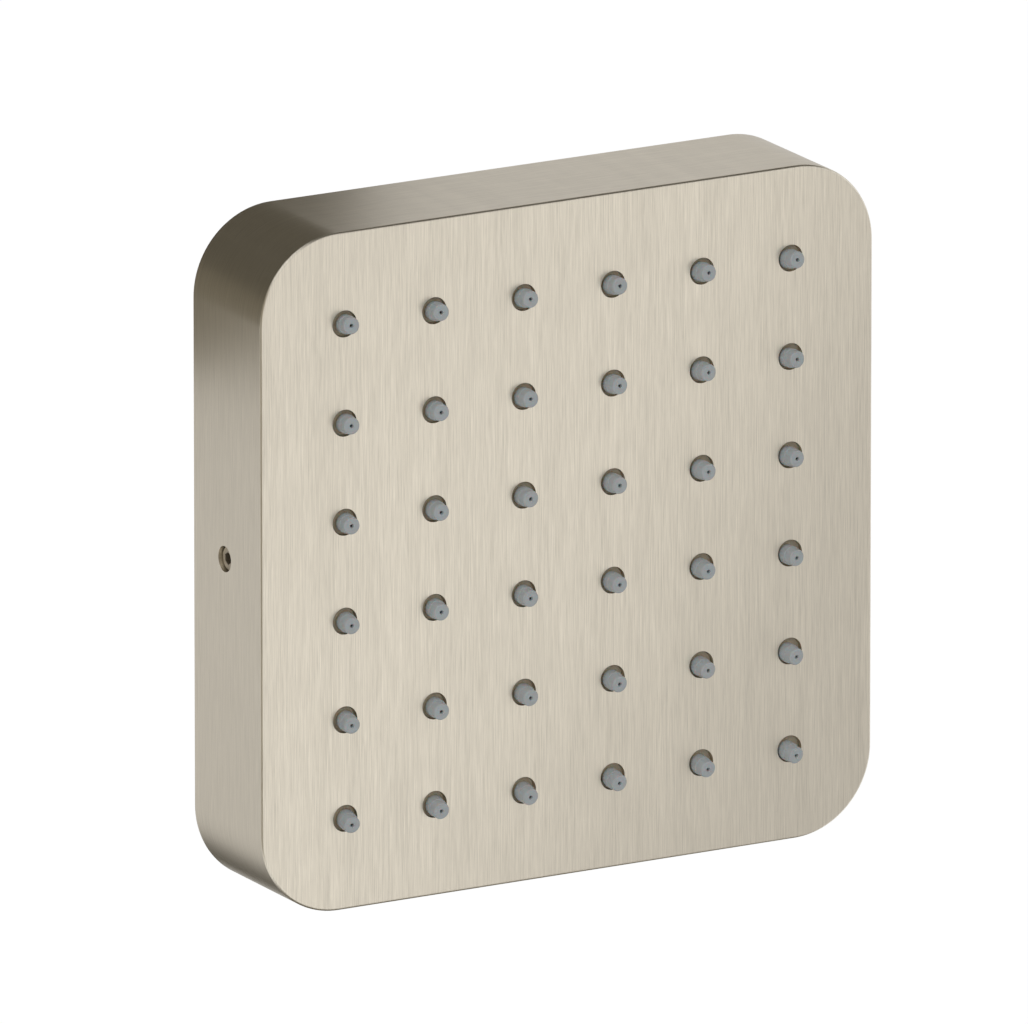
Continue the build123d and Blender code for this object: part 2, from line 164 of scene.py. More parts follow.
class Finishes(bpy.types.PropertyGroup):
    """Colours a user would change."""

    nickel: FloatVectorProperty(name="Nickel", description="Brushed nickel of the housing",
                                subtype="COLOR", default=linear("#DED7C8"))
    silicone: FloatVectorProperty(name="Silicone", description="Nozzles and their mat",
                                  subtype="COLOR", default=linear("#939899"))
    # Painted shade: the silicone down in the holes gets this darker, warmer colour for the shade there and
    # the warm bounce off the metal walls
    stain: FloatVectorProperty(name="Painted shade in holes", description="Collars down in the holes",
                               subtype="COLOR", default=linear("#9C907B"))
    steel: FloatVectorProperty(name="Stainless steel", description="Wall plate and screws",
                               subtype="COLOR", default=linear("#C9C7C2"))
    screw: FloatVectorProperty(name="Screw steel", description="Grub screw in the side",
                               subtype="COLOR", default=linear("#B9B0A0"))
    brass: FloatVectorProperty(name="Brass", description="Inlet socket and nut",
                               subtype="COLOR", default=linear("#D6B878"))
    light_plastic: FloatVectorProperty(name="White plastic", description="Plates in the water path",
                                       subtype="COLOR", default=linear("#E4E3DD"))
    dark_plastic: FloatVectorProperty(name="Black plastic", description="Chamber cover",
                                      subtype="COLOR", default=linear("#2A2B2C"))
    rubber: FloatVectorProperty(name="Rubber", description="Seals and gaskets",
                                subtype="COLOR", default=linear("#1E1E1F"))


# Node helper and finishes

def add(tree, kind, settings, sockets):
    """One node with its settings; a socket takes a value or a (node, output) pair to link."""
    made = tree.nodes.new(kind)
    for key, value in settings.items():
        setattr(made, key, value)
    for key, value in sockets.items():
        if isinstance(value, tuple) and len(value) == 2 and isinstance(value[0], bpy.types.Node):
            tree.links.new(value[0].outputs[value[1]], made.inputs[key])
        else:
            made.inputs[key].default_value = value
    return made


def begin_material(name):
    """New material, its emptied node tree and its output node."""
    material = bpy.data.materials.new(name)
    material.use_nodes = True
    tree = material.node_tree
    tree.nodes.clear()
    return material, tree, tree.nodes.new("ShaderNodeOutputMaterial")


def object_place(tree):
    """Object coordinates, to link to a Vector socket."""
    return tree.nodes.new("ShaderNodeTexCoord"), "Object"


def shades(colour, spread):
    """Darker and lighter version of a colour, as RGBA."""
    dark = [channel * (1 - spread) for channel in colour] + [1]
    light = [min(1, channel * (1 + spread)) for channel in colour] + [1]
    return dark, light


def dress(tree, output, paint, rough, bump, sockets):
    """Ends a material: its colour, roughness and bump on one surface shader."""
    shader = add(tree, "ShaderNodeBsdfPrincipled", {},
                 {"Base Color": (paint, MIX_COLOUR), "Roughness": (rough, "Result"),
                  "Normal": (bump, "Normal"), **sockets})
    tree.links.new(shader.outputs["BSDF"], output.inputs["Surface"])


def brushed_nickel(colour, depth, front_round):
    """Nickel-plated brass, brushed: fine lines, upright on the front, round the rim on the sides."""
    line_width, line_length = 0.1 * MM, 7 * MM
    rim_line_width = 0.18 * MM
    band_width, band_length = 3 * MM, 60 * MM
    scratches = {"Scale": 1.0, "Detail": 4.0, "Roughness": 0.65}
    material, tree, output = begin_material("nickel_plated_brass_brushed")
    place = object_place(tree)
    along = 1 / line_length
    front_map = add(tree, "ShaderNodeMapping", {},
                    {"Vector": place, "Scale": (1 / line_width, along, along)})
    rim_map = add(tree, "ShaderNodeMapping", {},
                  {"Vector": place, "Scale": (along, 1 / rim_line_width, along)})
    wide_map = add(tree, "ShaderNodeMapping", {},
                   {"Vector": place, "Scale": (1 / band_width, 1 / band_length, 1 / band_length)})
    front_lines = add(tree, "ShaderNodeTexNoise", {}, {"Vector": (front_map, "Vector"), **scratches})
    rim_lines = add(tree, "ShaderNodeTexNoise", {}, {"Vector": (rim_map, "Vector"), **scratches})
    bands = add(tree, "ShaderNodeTexNoise", {},
                {"Vector": (wide_map, "Vector"), "Scale": 1.0, "Detail": 2.0})
    # Calmer rim lines on the sides, front lines from the rounded edge on
    split = add(tree, "ShaderNodeSeparateXYZ", {}, {"Vector": place})
    on_front = add(tree, "ShaderNodeMapRange", {},
                   {"Value": (split, "Y"), "From Min": -depth + front_round,
                    "From Max": -depth + 0.4 * front_round})
    calm = add(tree, "ShaderNodeMapRange", {},
               {"Value": (rim_lines, "Fac"), "To Min": 0.25, "To Max": 0.75})
    lines = add(tree, "ShaderNodeMix", {"data_type": "FLOAT"},
                {"Factor": (on_front, "Result"), "A": (calm, "Result"), "B": (front_lines, "Fac")})
    tone = add(tree, "ShaderNodeMix", {"data_type": "FLOAT"},
               {"Factor": 0.12, "A": (lines, "Result"), "B": (bands, "Fac")})
    spread = add(tree, "ShaderNodeMapRange", {},
                 {"Value": (tone, "Result"), "From Min": 0.28, "From Max": 0.72})
    dark, light = shades(colour, spread=0.2)
    paint = add(tree, "ShaderNodeMix", {"data_type": "RGBA"},
                {"Factor": (spread, "Result"), MIX_A: dark, MIX_B: light})
    rough = add(tree, "ShaderNodeMapRange", {},
                {"Value": (lines, "Result"), "From Min": 0.25, "From Max": 0.75,
                 "To Min": 0.40, "To Max": 0.30})
    bump = add(tree, "ShaderNodeBump", {},
               {"Height": (lines, "Result"), "Strength": 0.12, "Distance": 0.03 * MM})
    dress(tree, output, paint, rough, bump, {"Metallic": 1.0})
    return material


def moulded(name, colour, roughness, grain, depth, spread, subsurface=0.0, sunk=None):
    """Moulded silicone, plastic or rubber: a soft cloudy tone and the fine grain of the mould.

    With a sunk level and colour it turns to a painted shade below that level: a darker, warmer tone for the
    shade down in the holes and the warm light bounced off their metal walls.
    """
    cloud_size, painted_shade_fade, gloss_spread = 6 * MM, 0.3 * MM, 0.06
    material, tree, output = begin_material(name)
    place = object_place(tree)
    clouds = add(tree, "ShaderNodeTexNoise", {},
                 {"Vector": place, "Scale": 1 / cloud_size, "Detail": 2.0})
    fine = add(tree, "ShaderNodeTexNoise", {}, {"Vector": place, "Scale": 1 / grain, "Detail": 3.0})
    dark, light = shades(colour, spread)
    paint = add(tree, "ShaderNodeMix", {"data_type": "RGBA"},
                {"Factor": (clouds, "Fac"), MIX_A: dark, MIX_B: light})
    # Painted shade: below the level the colour turns to the darker, warmer shade colour of the holes
    if sunk:
        level, stain = sunk
        split = add(tree, "ShaderNodeSeparateXYZ", {}, {"Vector": place})
        below = add(tree, "ShaderNodeMapRange", {},
                    {"Value": (split, "Y"), "From Min": level, "From Max": level + painted_shade_fade})
        paint = add(tree, "ShaderNodeMix", {"data_type": "RGBA"},
                    {"Factor": (below, "Result"), MIX_A: (paint, MIX_COLOUR), MIX_B: [*stain, 1]})
    rough = add(tree, "ShaderNodeMapRange", {},
                {"Value": (fine, "Fac"), "To Min": roughness - gloss_spread,
                 "To Max": roughness + gloss_spread})
    bump = add(tree, "ShaderNodeBump", {},
               {"Height": (fine, "Fac"), "Strength": 0.2, "Distance": depth})
    dress(tree, output, paint, rough, bump,
          {"IOR": 1.45, "Subsurface Weight": subsurface, "Subsurface Scale": 0.8 * MM})
    return material


def rolled_steel(colour):
    """Stainless sheet, cold rolled: short faint lines along the sheet and a soft sheen."""
    line_length, line_depth, line_width = 8 * MM, 0.5 * MM, 0.25 * MM
    material, tree, output = begin_material("stainless_steel_cold_rolled")
    stretch = add(tree, "ShaderNodeMapping", {},
                  {"Vector": object_place(tree),
                   "Scale": (1 / line_length, 1 / line_depth, 1 / line_width)})
    lines = add(tree, "ShaderNodeTexNoise", {},
                {"Vector": (stretch, "Vector"), "Scale": 1.0, "Detail": 3.0})
    dark, light = shades(colour, spread=0.08)
    paint = add(tree, "ShaderNodeMix", {"data_type": "RGBA"},
                {"Factor": (lines, "Fac"), MIX_A: dark, MIX_B: light})
    rough = add(tree, "ShaderNodeMapRange", {},
                {"Value": (lines, "Fac"), "To Min": 0.26, "To Max": 0.4})
    bump = add(tree, "ShaderNodeBump", {},
               {"Height": (lines, "Fac"), "Strength": 0.1, "Distance": 0.02 * MM})
    dress(tree, output, paint, rough, bump, {"Metallic": 1.0})
    return material


def turned_metal(name, colour, axis, centre, pitch, roughness):
    """Metal turned on a lathe: fine rings round its axis, drawn coarser than real so that they show."""
    cloud_size, gloss_spread = 4 * MM, 0.07
    material, tree, output = begin_material(name)
    place = object_place(tree)
    shift = add(tree, "ShaderNodeMapping", {},
                {"Vector": place, "Location": [-value for value in centre]})
    rings = add(tree, "ShaderNodeTexWave", {"wave_type": "RINGS", "rings_direction": axis},
                {"Vector": (shift, "Vector"), "Scale": 1 / (20 * pitch),
                 "Distortion": 0.6, "Detail": 2.0, "Detail Scale": 1.5})
    clouds = add(tree, "ShaderNodeTexNoise", {}, {"Vector": place, "Scale": 1 / cloud_size})
    dark, light = shades(colour, spread=0.1)
    paint = add(tree, "ShaderNodeMix", {"data_type": "RGBA"},
                {"Factor": (clouds, "Fac"), MIX_A: dark, MIX_B: light})
    rough = add(tree, "ShaderNodeMapRange", {},
                {"Value": (rings, "Fac"), "To Min": roughness - gloss_spread,
                 "To Max": roughness + gloss_spread})
    bump = add(tree, "ShaderNodeBump", {},
               {"Height": (rings, "Fac"), "Strength": 0.12, "Distance": 0.03 * MM})
    dress(tree, output, paint, rough, bump, {"Metallic": 1.0})
    return material


# Modelling helpers

def only(*objects):
    """Selects these objects alone, the first one active."""
    if bpy.context.object and bpy.context.object.mode != "OBJECT":
        bpy.ops.object.mode_set(mode="OBJECT")
    bpy.ops.object.select_all(action="DESELECT")
    for item in objects:
        item.select_set(True)
    bpy.context.view_layer.objects.active = objects[0] if objects else None


def new_block(low, high):
    """Cube primitive stretched between two corners."""
    only()
    bpy.ops.mesh.primitive_cube_add(size=1, location=[(a + b) / 2 for a, b in zip(low, high)])
    made = bpy.context.object
    made.scale = [b - a for a, b in zip(low, high)]
    bpy.ops.object.transform_apply(location=True, rotation=True, scale=True)
    return made


def new_rod(radius, start, end, sides, end_radius=None):
    """Cylinder or cone primitive between two points."""
    only()
    run = Vector(end) - Vector(start)
    far = radius if end_radius is None else end_radius
    bpy.ops.mesh.primitive_cone_add(vertices=sides, radius1=radius, radius2=far, depth=run.length,
                                    location=(Vector(start) + Vector(end)) / 2)
    made = bpy.context.object
    made.rotation_mode = "QUATERNION"
    made.rotation_quaternion = run.to_track_quat("Z", "Y")
    bpy.ops.object.transform_apply(location=True, rotation=True, scale=True)
    return made


def copy_at(master, place):
    """Copy of a piece, with its own mesh, moved by a matrix."""
    copy = bpy.data.objects.new(master.name, master.data.copy())
    bpy.context.scene.collection.objects.link(copy)
    copy.data.transform(place)
    return copy


def pick(piece, kind, test):
    """Edit mode on the piece, with the edges or faces that pass the test selected."""
    if piece.mode != "EDIT":
        only(piece)
        bpy.ops.object.mode_set(mode="EDIT")
    bpy.ops.mesh.select_mode(type={"edges": "EDGE", "faces": "FACE"}[kind])
    bpy.ops.mesh.select_all(action="DESELECT")
    mesh = bmesh.from_edit_mesh(piece.data)
    found = [item for item in getattr(mesh, kind) if test(item)]
    if not found:
        raise RuntimeError(f"nothing to select on {piece.name}")
    for item in found:
        item.select_set(True)
    mesh.select_flush_mode()
    bmesh.update_edit_mesh(piece.data)


def runs_along(edge, axis):
    """True for an edge parallel to an axis."""
    step = edge.verts[1].co - edge.verts[0].co
    return abs(abs(step[axis]) - step.length) < NEAR and step.length > NEAR


def lies_at(edge, axis, level):
    """True for an edge that lies in a plane across an axis."""
    return all(abs(corner.co[axis] - level) < NEAR for corner in edge.verts)


def middle(edge):
    """Point half way along an edge."""
    return (edge.verts[0].co + edge.verts[1].co) / 2


def bevel(width, segments):
    """Rounds the selected edges."""
    bpy.ops.mesh.bevel(offset=width, offset_type="OFFSET", segments=segments, profile=0.5,
                       affect="EDGES", clamp_overlap=True)


def push(shift):
    """Extrudes the selected face along a shift."""
    bpy.ops.mesh.extrude_region_move(TRANSFORM_OT_translate={"value": shift})


def join(pieces):
    """Joins pieces into the first one."""
    only(*pieces)
    bpy.ops.object.join()
    return pieces[0]


def combine(piece, tool, operation):
    """Adds a tool body to the piece or cuts it out, and removes the tool."""
    only(piece)
    change = piece.modifiers.new("combine", "BOOLEAN")
    change.operation = operation
    change.solver = "EXACT"
    change.object = tool
    bpy.ops.object.modifier_apply(modifier=change.name)
    bpy.data.objects.remove(tool)


def settle(piece, name, material, node, smooth_angle):
    """Cleans and smooths a finished piece, gives it its finish and puts it in its node's place."""
    only(piece)
    bpy.ops.object.mode_set(mode="EDIT")
    bpy.ops.mesh.select_all(action="SELECT")
    bpy.ops.mesh.remove_doubles(threshold=0.002 * MM)
    bpy.ops.mesh.normals_make_consistent(inside=False)
    bpy.ops.object.mode_set(mode="OBJECT")
    bpy.ops.object.shade_smooth_by_angle(angle=math.radians(smooth_angle))
    weigh = piece.modifiers.new("weigh", "WEIGHTED_NORMAL")
    weigh.keep_sharp = True
    weigh.weight = 100
    bpy.ops.object.modifier_apply(modifier=weigh.name)
    piece.name = name
    piece.data.name = name
    piece.data.materials.clear()
    piece.data.materials.append(material)
    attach(piece, "root")
    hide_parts(node)


def inner_walls(block):
    """Distance of the inner faces of the side walls and of the upper and lower wall from the middle."""
    return block.width / 2 - block.side_wall, block.height / 2 - block.side_wall


def nozzle_places(block):
    """Hole centre, seat and leaning direction of every nozzle, counted from the middle of the field."""
    sizes = bpy.context.scene.body_jet_nozzle
    pitch_x = (block.width - 2 * block.margin) / max(1, block.columns - 1)
    pitch_z = (block.height - 2 * block.margin) / max(1, block.rows - 1)
    places = []
    for row in range(block.rows):
        for column in range(block.columns):
            step_x = column - (block.columns - 1) / 2
            step_z = row - (block.rows - 1) / 2
            hole = Vector((step_x * pitch_x, -block.depth + block.front_wall / 2, step_z * pitch_z))
            away = Vector((math.tan(step_x * sizes.lean_across), -1,
                           math.tan(step_z * sizes.lean_upright)))
            reach = block.front_wall / 2 + sizes.tip_height
            seat = hole - Vector((away.x * reach, 0, sizes.sag))
            places.append((hole, seat, away.normalized()))
    return places


class BODYJET_OT_housing(bpy.types.Operator):
    """Brushed block: rounded corners, rounded front edge, open back and nozzle holes"""

    bl_idname = "bodyjet.housing"
    bl_label = "Brushed housing"

    def execute(self, context):
        block = context.scene.body_jet_housing
        half_x, half_z = block.width / 2, block.height / 2
        shell = new_block((-half_x, -block.depth, -half_z), (half_x, 0, half_z))
        pick(shell, "edges", lambda edge: runs_along(edge, 1))
        bevel(block.corner, segments=28)
        pick(shell, "edges", lambda edge: lies_at(edge, 1, -block.depth))
        bevel(block.front_round, segments=6)
        pick(shell, "edges", lambda edge: lies_at(edge, 1, 0))
        bevel(block.rear_break, segments=2)
        self.hollow(shell, block)
        combine(shell, self.posts_and_pads(block), "UNION")
        combine(shell, self.holes(block), "DIFFERENCE")
        self.break_rims(shell, block)
        finish = brushed_nickel(context.scene.body_jet_finishes.nickel, block.depth, block.front_round)
        settle(shell, "brushed_housing", finish, "housing", smooth_angle=32)
        return {"FINISHED"}

    def hollow(self, shell, block):
        """Opens the back: a step for the wall seal, then the room behind the front wall."""
        rebate, rebate_depth = 1.2 * MM, 1.5 * MM
        pick(shell, "faces",
             lambda face: face.normal.y > 0.9 and abs(face.calc_center_median().y) < NEAR)
        bpy.ops.mesh.inset(thickness=block.side_wall - rebate - block.rear_break, use_even_offset=True)
        push((0, -rebate_depth, 0))
        bpy.ops.mesh.inset(thickness=rebate, use_even_offset=True)
        push((0, -(block.depth - block.front_wall - rebate_depth), 0))
        bpy.ops.object.mode_set(mode="OBJECT")

    def posts_and_pads(self, block):
        """Screw posts along the four walls and the two pads beside the wall plate."""
        front = -block.depth + block.front_wall / 2
        sink = block.side_wall / 2
        nearly_round = 0.999 * POST_RADIUS
        inner_x, inner_z = inner_walls(block)
        post = new_block((-POST_RADIUS, front, -POST_INSET - POST_RADIUS),
                         (POST_RADIUS, POST_BACK, sink))
        pick(post, "edges", lambda edge: runs_along(edge, 1) and edge.verts[0].co.z < -POST_INSET)
        bevel(nearly_round, segments=10)
        bpy.ops.object.mode_set(mode="OBJECT")
        bodies = []
        for turn, wall in enumerate((inner_z, inner_x, inner_z, inner_x)):
            spin = Matrix.Rotation(turn * math.pi / 2, 4, "Y")
            for along in (-POST_SPREAD, POST_SPREAD):
                bodies.append(copy_at(post, spin @ Matrix.Translation((along, 0, wall))))
        bpy.data.objects.remove(post)
        left = (-block.width / 2 + sink, GRUB_HIGH.x - PAD_GAP)
        right = (-GRUB_HIGH.x, block.width / 2 - sink)
        for near, far in (left, right):
            bodies.append(new_block((near, PAD_FRONT, -PAD_HALF), (far, PAD_BACK, PAD_HALF)))
        return join(bodies)

    def holes(self, block):
        """Nozzle holes, the side hole of the grub screw and the blind holes in the posts."""
        inner_x, inner_z = inner_walls(block)
        side_mouth = (-block.width / 2 - PAST_FACE, GRUB_LEVEL, GRUB_RISE)
        side_bottom = (GRUB_HIGH.x, GRUB_LEVEL, GRUB_RISE)
        tools = [new_rod(block.side_hole, side_mouth, side_bottom, sides=64)]
        reach = Vector((0, block.front_wall, 0))
        for hole, _, _ in nozzle_places(block):
            tools.append(new_rod(block.hole_radius, hole + reach * 0.9, hole - reach, sides=64))
        for sign in (-1, 1):
            for along in (-POST_SPREAD, POST_SPREAD):
                on_flat_wall = (along, sign * (inner_z - POST_INSET))
                on_side_wall = (sign * (inner_x - POST_INSET), along)
                for x, z in (on_flat_wall, on_side_wall):
                    tools.append(new_rod(BLIND_RADIUS, (x, BLIND_BACK, z), (x, BLIND_FRONT, z),
                                         sides=24))
        return join(tools)

    def break_rims(self, shell, block):
        """Takes the sharp edge off the nozzle holes and the side hole."""
        holes = [hole for hole, _, _ in nozzle_places(block)]

        def on_rim(edge):
            spot = middle(edge)
            return lies_at(edge, 1, -block.depth) and any(
                math.hypot(spot.x - hole.x, spot.z - hole.z) < block.hole_radius + NEAR
                for hole in holes)

        def on_side_rim(edge):
            spot = middle(edge)
            off_axis = math.hypot(spot.y - GRUB_LEVEL, spot.z - GRUB_RISE)
            return lies_at(edge, 0, -block.width / 2) and off_axis < block.side_hole + NEAR

        pick(shell, "edges", on_rim)
        bevel(block.rim_break, segments=3)
        pick(shell, "edges", on_side_rim)
        bevel(block.side_break, segments=3)
        bpy.ops.object.mode_set(mode="OBJECT")


class BODYJET_OT_nozzles(bpy.types.Operator):
    """Silicone mat with its stepped nozzles, fanned outwards from the middle"""

    bl_idname = "bodyjet.nozzles"
    bl_label = "Silicone nozzles"

    def execute(self, context):
        block = context.scene.body_jet_housing
        sizes = context.scene.body_jet_nozzle
        colours = context.scene.body_jet_finishes
        sheet = new_block((MAT_LOW.x, -block.depth + block.front_wall, MAT_LOW.z),
                          (MAT_HIGH.x, MAT_HIGH.y, MAT_HIGH.z))
        pick(sheet, "edges", lambda edge: runs_along(edge, 1))
        bevel(sizes.mat_corner, segments=12)
        bpy.ops.object.mode_set(mode="OBJECT")
        combine(sheet, self.collars(block, sizes), "UNION")
        combine(sheet, self.fan_out(self.nozzle(block, sizes), block), "UNION")
        combine(sheet, self.fan_out(self.bore(block, sizes), block), "DIFFERENCE")
        combine(sheet, self.fan_out(self.mouth(block, sizes), block), "DIFFERENCE")
        # Painted shade on the silicone from half a millimetre above the collars down into the holes
        above_collars = 0.5 * MM
        sunk = (-block.depth + sizes.collar_recess - above_collars, colours.stain)
        finish = moulded("silicone_moulded", colours.silicone, roughness=0.5, grain=0.12 * MM,
                         depth=0.02 * MM, spread=0.05, subsurface=0.35, sunk=sunk)
        settle(sheet, "silicone_nozzle_mat", finish, "nozzle_mat", smooth_angle=40)
        return {"FINISHED"}

    def thickness(self, block):
        """Thickness of the mat's sheet behind the front wall."""
        return MAT_HIGH.y + block.depth - block.front_wall

    def collars(self, block, sizes):
        """Low collar that fills each hole behind the front face."""
        radius = block.hole_radius - sizes.collar_gap
        back = -block.depth + block.front_wall + self.thickness(block) / 2
        front = -block.depth + sizes.collar_recess
        return join([new_rod(radius, (hole.x, back, hole.z), (hole.x, front, hole.z), sides=40)
                     for hole, _, _ in nozzle_places(block)])

    def nozzle(self, block, sizes):
        """One upright nozzle on the axis, its seat at the origin, rounded at step and tip."""
        half_wall = block.front_wall / 2
        start = half_wall + self.thickness(block) / 2
        step, tip = -half_wall - sizes.step_height, -half_wall - sizes.tip_height
        only()
        bpy.ops.mesh.primitive_circle_add(vertices=40, radius=sizes.root, fill_type="NGON",
                                          location=(0, start, 0), rotation=(math.pi / 2, 0, 0))
        made = bpy.context.object
        bpy.ops.object.transform_apply(location=True, rotation=True, scale=True)
        bpy.ops.object.mode_set(mode="EDIT")
        bpy.ops.mesh.select_all(action="SELECT")
        push((0, step - start, 0))
        self.narrow(sizes.shoulder / sizes.root)
        push((0, 0, 0))
        self.narrow(sizes.neck / sizes.shoulder)
        push((0, tip - step, 0))
        self.narrow(sizes.tip / sizes.neck)
        bpy.ops.mesh.select_all(action="SELECT")
        bpy.ops.mesh.normals_make_consistent(inside=False)
        pick(made, "edges", lambda edge: lies_at(edge, 1, tip))
        bevel(sizes.tip_round, segments=4)
        pick(made, "edges", lambda edge: self.is_step(edge, step))
        bevel(sizes.step_round, segments=3)
        bpy.ops.object.mode_set(mode="OBJECT")
        return made

    def bore(self, block, sizes):
        """Cutter of the water channel, narrowing from behind the mat to the outlet."""
        tip = block.front_wall / 2 + sizes.tip_height
        back = block.front_wall / 2 + 2 * self.thickness(block)
        taper = (sizes.channel - sizes.orifice) / (tip + back)
        end_radius = sizes.orifice - taper * PAST_TIP
        return new_rod(sizes.channel, (0, back, 0), (0, -tip - PAST_TIP, 0), sides=24,
                       end_radius=end_radius)

    def mouth(self, block, sizes):
        """Cutter of the shallow hollow round the water outlet."""
        tip = block.front_wall / 2 + sizes.tip_height
        flare = (sizes.mouth - sizes.orifice) / sizes.mouth_depth
        bottom, top = (0, -tip + sizes.mouth_depth, 0), (0, -tip - PAST_TIP, 0)
        return new_rod(sizes.orifice, bottom, top, sides=24,
                       end_radius=sizes.mouth + flare * PAST_TIP)

    def is_step(self, edge, step):
        """True for the outer and inner ring of the step."""
        reach = [math.hypot(corner.co.x, corner.co.z) for corner in edge.verts]
        return lies_at(edge, 1, step) and abs(reach[0] - reach[1]) < NEAR / 4

    def narrow(self, ratio):
        """Scales the selected ring about the nozzle's axis."""
        bpy.ops.transform.resize(value=(ratio, 1, ratio), center_override=(0, 0, 0))

    def fan_out(self, master, block):
        """Copies the master to every seat, leaning, and joins the copies."""
        copies = []
        for _, seat, away in nozzle_places(block):
            turn = Vector((0, -1, 0)).rotation_difference(away).to_matrix().to_4x4()
            copies.append(copy_at(master, Matrix.Translation(seat) @ turn))
        bpy.data.objects.remove(master)
        return join(copies)


class BODYJET_OT_grub_screw(bpy.types.Operator):
    """Set screw in the left side, with rounded ends and a hexagon socket"""

    bl_idname = "bodyjet.grub_screw"
    bl_label = "Grub screw"

    def execute(self, context):
        oversize, edge_break = 0.2 * MM, 0.3 * MM
        across_flats, socket_depth = 2.0 * MM, 2.2 * MM
        radius = (GRUB_HIGH.z - GRUB_LOW.z) / 2 + oversize
        screw = new_rod(radius, (GRUB_LOW.x, GRUB_LEVEL, GRUB_RISE),
                        (GRUB_HIGH.x, GRUB_LEVEL, GRUB_RISE), sides=48)
        pick(screw, "edges",
             lambda edge: lies_at(edge, 0, GRUB_LOW.x) or lies_at(edge, 0, GRUB_HIGH.x))
        bevel(edge_break, segments=2)
        bpy.ops.object.mode_set(mode="OBJECT")
        socket = new_rod(across_flats / math.sqrt(3), (GRUB_LOW.x - PAST_FACE, GRUB_LEVEL, GRUB_RISE),
                         (GRUB_LOW.x + socket_depth, GRUB_LEVEL, GRUB_RISE), sides=6)
        combine(screw, socket, "DIFFERENCE")
        finish = turned_metal("stainless_steel_turned", context.scene.body_jet_finishes.screw, "X",
                              (0, GRUB_LEVEL, GRUB_RISE), pitch=0.35 * MM, roughness=0.45)
        settle(screw, "side_grub_screw", finish, "grub_screw", smooth_angle=25)
        return {"FINISHED"}


class BODYJET_OT_inner_finishes(bpy.types.Operator):
    """Finishes of the pieces behind the front: plates, seals, screws and the inlet"""

    bl_idname = "bodyjet.inner_finishes"
    bl_label = "Inner finishes"

    def execute(self, context):
        colours = context.scene.body_jet_finishes
        steel = rolled_steel(colours.steel)
        brass = turned_metal("brass_turned", colours.brass, "Y", (0, 0, 0), pitch=0.4 * MM, roughness=0.27)
        white = moulded("abs_moulded", colours.light_plastic, roughness=0.42, grain=0.2 * MM,
                        depth=0.02 * MM, spread=0.03, subsurface=0.05)
        black = moulded("glass_filled_nylon_moulded", colours.dark_plastic, roughness=0.55,
                        grain=0.25 * MM, depth=0.05 * MM, spread=0.15)
        rubber = moulded("epdm_rubber_moulded", colours.rubber, roughness=0.7, grain=0.15 * MM,
                         depth=0.04 * MM, spread=0.2)
        groups = (
            (steel, ("wall_plate", "chamber_screws", "screw_washers", "inlet_washer", "strainer",
                     "retaining_ring")),
            (brass, ("inlet_socket", "inlet_nut")),
            (white, ("jet_plate", "distributor", "flow_limiter")),
            (black, ("chamber_cover",)),
            (rubber, ("chamber_seal", "inlet_gasket", "limiter_ring", "wall_seal")),
        )
        for material, names in groups:
            for name in names:
                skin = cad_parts[name].data.materials
                skin.clear()
                skin.append(material)
        return {"FINISHED"}


